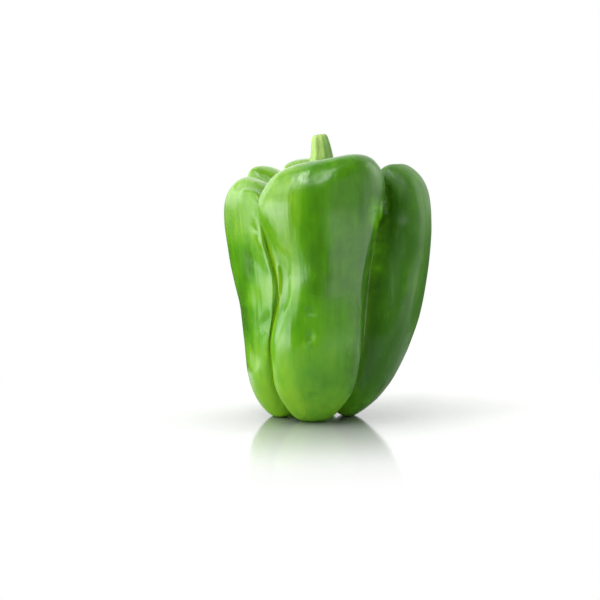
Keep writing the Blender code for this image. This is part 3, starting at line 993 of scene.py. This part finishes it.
bm = start_editing(calyx)
for point in bm.verts:
    away = point.co - CALYX_CENTRE
    away.z = 0
    if away.length < CALYX_LOOSE_RADIUS:
        continue
    lookout = Vector((point.co.x, point.co.y, LOOKOUT_HEIGHT))
    _, ground, _, _ = fruit.ray_cast(lookout, Vector((0, 0, -1)))
    settle = min(1, (away.length - CALYX_LOOSE_RADIUS) / CALYX_SETTLING)
    target = ground.z + CALYX_ABOVE_SKIN + CALYX_RIPPLE * math.cos(
        CALYX_POINTS * bearing_of(point.co, CALYX_CENTRE))
    pick([point], bm)
    bpy.ops.transform.translate(value=(0, 0, (target - point.co.z) * settle))
stop_editing()
finish_with(calyx, "SOLIDIFY", thickness=CALYX_THICKNESS, offset=-1)
subdivide(calyx, 2)
calyx.data.shade_smooth()
describe(calyx)
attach(calyx, "root")
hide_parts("calyx")

# %% [markdown]
# ## The stem
#
# The stem is a short stalk with six rounded ribs. It flares into the calyx at its foot, leans
# and tapers upwards, and ends in a slanting cut. A circle extruded ring by ring along the
# stalk lets each ring be scaled and moved. The cut end is inset three times, over the rind's
# edge and a little down again, because the pith dries and shrinks inside the rind.

# %% Stalk and cut end
STEM_SIDES = 48
# Each ring: height, radius and place to the right.
STEM_RINGS = ((0.0855, 0.0066, -0.0013), (0.0868, 0.0060, -0.0013), (0.0885, 0.0056, -0.0016),
              (0.0915, 0.0052, -0.0020), (0.0948, 0.0049, -0.0024), (0.0993, 0.0042, -0.0027),
              (0.1015, 0.0038, -0.0028), (0.1033, 0.0036, -0.0030), (0.1052, 0.0033, -0.0032),
              (0.1066, 0.0030, -0.0034), (0.1075, 0.0027, -0.0035))
STEM_CUT_STEPS = ((0.0005, 0.0007), (0.0006, 0.0001), (0.0006, -0.0002))
STEM_CUT_BAND = 0.0005
STEM_CUT_TILT = math.radians(9)

foot_height, foot_radius, foot_x = STEM_RINGS[0]
stem = new_circle("pepper_stem", STEM_SIDES, foot_radius,
                  MIDDLE + Vector((foot_x, 0, foot_height)), "NGON")
start_editing(stem)
bpy.ops.mesh.select_all(action="SELECT")
for (height, radius, x), (next_height, next_radius, next_x) in zip(STEM_RINGS, STEM_RINGS[1:]):
    bpy.ops.mesh.extrude_region_move(
        TRANSFORM_OT_translate={"value": (next_x - x, 0, next_height - height)})
    shrink = next_radius / radius
    bpy.ops.transform.resize(value=(shrink, shrink, 1),
                             center_override=MIDDLE + Vector((next_x, 0, next_height)))
for inset, rise in STEM_CUT_STEPS:
    bpy.ops.mesh.inset(thickness=inset)
    bpy.ops.transform.translate(value=(0, 0, rise))
end_height, _, end_x = STEM_RINGS[-1]
end_centre = MIDDLE + Vector((end_x, 0, end_height))
bm = bmesh.from_edit_mesh(stem.data)
pick([point for point in bm.verts if point.co.z > end_height - STEM_CUT_BAND], bm)
bpy.ops.transform.rotate(value=STEM_CUT_TILT, orient_axis="Y", center_override=end_centre)
bpy.ops.mesh.select_all(action="SELECT")
bpy.ops.mesh.normals_make_consistent(inside=False)
stop_editing()
describe(stem)

# %% [markdown]
# The ribs come last. In each ring, the points near a rib are scaled outwards about the
# ring's middle, and those near a furrow inwards. Subdivision then rounds both.

# %% Ribs of the stem
STEM_RIBS = 6
STEM_RIB_DEPTH = 0.075
STEM_RIB_TURN = 0.6
STEM_RIB_WIDTH = 0.5
RING_TOLERANCE = 0.00005
CUT_TOLERANCE = 0.0006

bm = start_editing(stem)
for height, _, x in STEM_RINGS:
    centre = MIDDLE + Vector((x, 0, height))
    tolerance = CUT_TOLERANCE if height == end_height else RING_TOLERANCE
    ring = [point for point in bm.verts if abs(point.co.z - height) < tolerance]
    swell = [math.cos(STEM_RIBS * bearing_of(point.co, centre) + STEM_RIB_TURN) for point in ring]
    for side in (1, -1):
        pick([point for point, out in zip(ring, swell) if side * out > STEM_RIB_WIDTH], bm)
        factor = 1 + side * STEM_RIB_DEPTH
        bpy.ops.transform.resize(value=(factor, factor, 1), center_override=centre)
stop_editing()
subdivide(stem, 2)
stem.data.shade_smooth()
describe(stem)
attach(stem, "root")
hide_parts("stem")

# %% [markdown]
# ## Finishes of the calyx and the stem
#
# Both are green stalk, paler and drier than the fruit: matt, with fine fibres that run along the
# stem. The stem's right side, away from the light, is painted a deeper green as painted shade, and
# its cut end is the colour of straw.

# %% Stalk finish
STALK_GREEN = (0.130, 0.310, 0.025)
STALK_PALE = (0.395, 0.580, 0.145)
PALE_EDGE = (0.3, 0.7)
FIBRE_WIDTH = 0.0006
STALK_BLOT_SIZE = 0.004
STALK_BUMP_STRENGTH = 0.3
STALK_BUMP_HEIGHT = 0.0003


def stalk_finish(name, pale_share, stretch):
    """Green stalk with fibres along it."""
    material, start, shader = new_finish(name)
    fibres = noise(object_place(start, stretch), FIBRE_WIDTH, detail=3)
    blots = noise(object_place(start), STALK_BLOT_SIZE, detail=3)
    mask = between(fibres * 0.5 + blots * 0.5 + pale_share, *PALE_EDGE)
    colour = colour_mix(mask, STALK_GREEN, STALK_PALE)
    bump = bumps(fibres + blots * 0.5, STALK_BUMP_STRENGTH, STALK_BUMP_HEIGHT)
    return material, start, shader, colour, bump


# %% Calyx green
calyx_green, start, shader, colour, bump = stalk_finish("calyx_green", -0.05, (1, 1, 1))
feed(shader, {"Base Color": colour, "Roughness": 0.5, "Normal": bump})
calyx.data.materials.append(calyx_green)

# %% Stem green and cut end
CUT_STRAW = (0.480, 0.470, 0.180)
CUT_EDGE = (0.1081, 0.1084)
PAINTED_SHADE_EDGE = (-0.0034, 0.0000)
PAINTED_SHADE_DEPTH = 0.85

stem_green, start, shader, colour, bump = stalk_finish("stem_green", 0.12, (1, 1, 0.08))
place = object_place(start)
# Painted shade: the stem's right side, away from the light, is made a deeper green.
painted_shade_side = between(along(place, "X"), *PAINTED_SHADE_EDGE)
on_cut = between(along(place, "Z"), *CUT_EDGE)
colour = colour_mix(painted_shade_side * PAINTED_SHADE_DEPTH, colour, STALK_GREEN)
feed(shader, {"Base Color": colour_mix(on_cut, colour, CUT_STRAW),
                     "Roughness": 0.6, "Normal": bump})
stem.data.materials.append(stem_green)

# %% [markdown]
# ## The table
#
# The pepper stands on a pale, slightly glossy table. The camera sees the pepper's reflection near
# its foot only, and plain white further off. Corners that little light gets into get a painted
# shadow: ambient occlusion darkens the table's colour there, and darker still in what the skin
# reflects, so that the tips stand on something. Only the table near the pepper counts for the
# light, so that the surroundings show in the skin above it.

# %% Floor
FLOOR_SIZE = 6.0
REFLECTION_FADES = (0.05, 0.165)
TABLE_REACH = (0.095, 0.125)
TABLE_WHITE = (0.90, 0.91, 0.89)
TABLE_SHADE = (0.16, 0.17, 0.16)
SHADE_REACH = 0.09
SHADE_DEPTH = 2.5
MIRRORED_SHADE = 0.6

bpy.ops.object.select_all(action="DESELECT")
bpy.ops.mesh.primitive_plane_add(size=FLOOR_SIZE, location=(0, 0, 0))
floor = bpy.context.object
floor.name = "floor"
floor_finish, start, shader = new_finish("pale_table")
# Painted shadow: ambient occlusion darkens the table's colour near the pepper, more in
# reflections; light bounced off the table keeps it white.
open_sky = start.node("ShaderNodeAmbientOcclusion", {"samples": 8}, {"Distance": SHADE_REACH},
                      output="AO")
bounced = start.node("ShaderNodeLightPath", output="Is Diffuse Ray")
mirrored = start.node("ShaderNodeLightPath", output="Is Glossy Ray")
open_light = open_sky ** SHADE_DEPTH * (1 - mirrored * MIRRORED_SHADE)
lit = start.maths("MAXIMUM", open_light, bounced)
feed(shader, {"Base Color": colour_mix(lit, TABLE_SHADE, TABLE_WHITE),
                     "Roughness": 0.10, "IOR": 1.40})
away = start.node("ShaderNodeVectorMath", {"operation": "LENGTH"},
                  {0: object_place(start)}, output="Value")
seen = start.node("ShaderNodeLightPath", output="Is Camera Ray")
table = Wire(start.tree, shader.outputs["BSDF"])
white = start.node("ShaderNodeEmission")
clear = start.node("ShaderNodeBsdfTransparent")
shown = start.node("ShaderNodeMixShader", {}, {
    0: between(away, *REFLECTION_FADES) * seen, 1: table, 2: white})
surface = start.node("ShaderNodeMixShader", {}, {
    0: between(away, *TABLE_REACH) * (1 - seen), 1: shown, 2: clear})
start.tree.links.new(surface.socket, start.tree.nodes["Material Output"].inputs["Surface"])
floor.data.materials.append(floor_finish)
floor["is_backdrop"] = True

# %% [markdown]
# ## The light
#
# A skin this glossy shows its whole surroundings, so the light is built as surroundings and
# not as lamps: a dim room with soft-edged bright patches, each placed by its bearing and
# height as seen from the pepper. The largest is the soft light at the left, in several parts,
# with window panes above it that make the glints on the front lobe's shoulder. The dim room
# in front shows as the deep band down the middle of that lobe. The camera itself sees plain
# white behind the pepper.

# %% Directions of the light
PANE_HEIGHT = 46
PANE_LEAN = 1.6

world = bpy.data.worlds.new("studio")
bpy.context.scene.world = world
world.use_nodes = True
start = Wire(world.node_tree)
direction = start.node("ShaderNodeTexCoord", output="Generated")
east, north, up = (along(direction, axis) for axis in "XYZ")
bearing = start.maths("ARCTAN2", east, north * -1) * math.degrees(1)
height = start.maths("ARCSINE", up) * math.degrees(1)
behind = start.maths("ABSOLUTE", bearing)
leaning = bearing + (height - PANE_HEIGHT) * PANE_LEAN

# %% Patches of light
BEYOND = 400
DARK_ROOM = 0.06

# Each patch: brightness, bearings from and to (0 is the camera, 90 the right), heights from
# and to, all in degrees, and how soft its edge is. BEYOND is past any bearing or height.
PATCHES = {
    "left light": (3.4, bearing, -98, -50, -12, 4, 4),
    "left light, whole height": (1.7, bearing, -116, -52, -14, 40, 7),
    "left light, low corner": (2.2, bearing, -90, -50, -27, -10, 4),
    "left light, low far corner": (1.5, bearing, -114, -97, -12, -8, 1.5),
    "left light, its foot": (1.5, bearing, -92, -56, -45, -14, 6),
    "left light, far end": (2.2, bearing, -142, -111, -3, 30, 4),
    "left light, upper part": (1.2, bearing, -90, -52, 15, 34, 5),
    "above the left soft light": (1.4, bearing, -110, -46, 40, 62, 6),
    "left window pane": (3.0, leaning, -70, -40, 34, 66, 3),
    "left window pane, low part": (2.4, bearing, -64, -37, 25, 38, 4),
    "its bright edge": (8.5, leaning, -55, -39, 38, 64, 3),
    "middle window pane": (2.8, bearing, -29, -19, 40, 66, 3),
    "right window pane": (9.0, bearing, -11, -2, 34, 72, 3),
    "right wall": (0.48, bearing, 8, 140, -2, 30, 6),
    "right wall, low part": (1.5, bearing, 6, 112, -40, -6, 8),
    "right wall, bright part": (1.2, bearing, 62, 118, -2, 20, 6),
    "right soft light": (3.6, bearing, 84, 124, 16, 48, 6),
    "back wall": (1.3, behind, 140, BEYOND, 0, 42, 6),
    "lamp behind": (1.2, behind, 118, BEYOND, 42, 64, 6),
    "ceiling": (0.2, behind, -BEYOND, BEYOND, 66, BEYOND, 8),
}
light = DARK_ROOM
for brightness, round_at, left, right, lower, upper, edge in PATCHES.values():
    patch = between(round_at, left - edge, left + edge, right - edge, right + edge) * between(
        height, lower - edge, lower + edge, upper - edge, upper + edge)
    light = light + patch * brightness
seen = start.node("ShaderNodeLightPath", output="Is Camera Ray")
strength = seen + (1 - seen) * light
background = world.node_tree.nodes["Background"]
background.inputs["Color"].default_value = (1, 1, 1, 1)
start.tree.links.new(strength.socket, background.inputs["Strength"])
bpy.context.scene.view_settings.view_transform = "Standard"
print(len(PATCHES), "patches of light")

# %% [markdown]
# ## Sizes
#
# The visual pepper is built to fill the same box as the plain solids, and both boxes are printed.

# %% Boxes
low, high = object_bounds()
print("visual box, mm:", in_mm(b - a for a, b in zip(low, high)))
